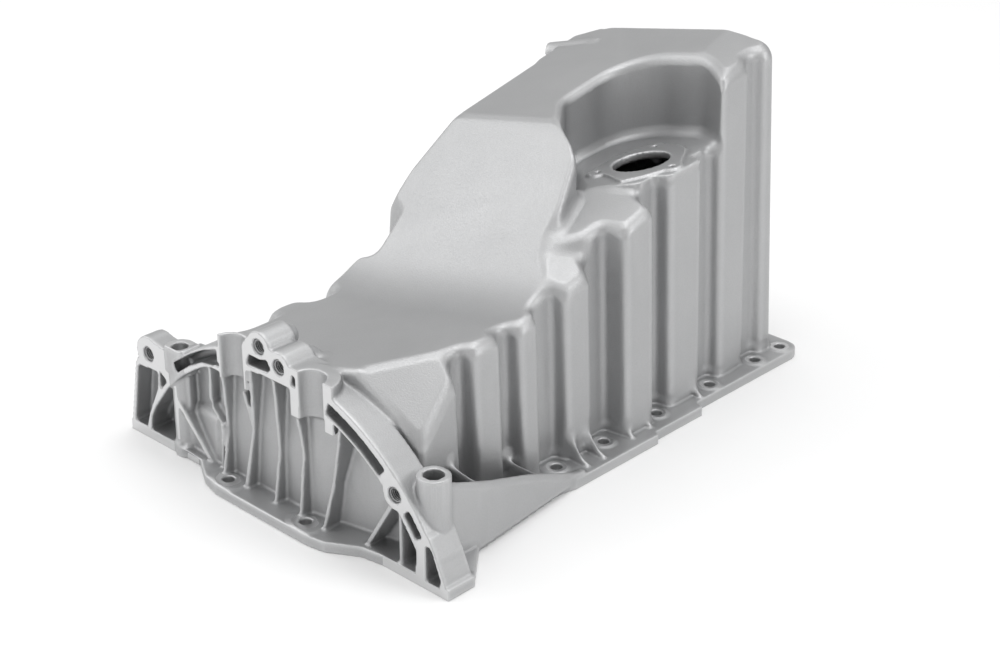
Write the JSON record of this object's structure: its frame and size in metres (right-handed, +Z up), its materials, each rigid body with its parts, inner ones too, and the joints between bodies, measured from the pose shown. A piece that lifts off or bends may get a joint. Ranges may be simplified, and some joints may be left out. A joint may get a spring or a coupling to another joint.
{
  "type": "engine oil pan",
  "caption": "Die-cast engine oil pan with a stepped sump, fluted side walls, a gasket flange, a bell-housing arch and a level sensor seat.",
  "frame": {"origin": "middle of the bell-housing arch's width, where the plane of its face meets the gasket face", "axes": "+X across the engine towards the level sensor, +Y along the engine from the bell housing to the deep end of the sump, +Z up from the gasket face to the sump"},
  "size_m": [0.3318, 0.458, 0.2581],
  "materials": {
    "cast_aluminium": "satin as-cast skin with machined faces"
  },
  "bodies": {
    "root": {"oil_pan": "cast_aluminium"}
  },
  "joints": []
}
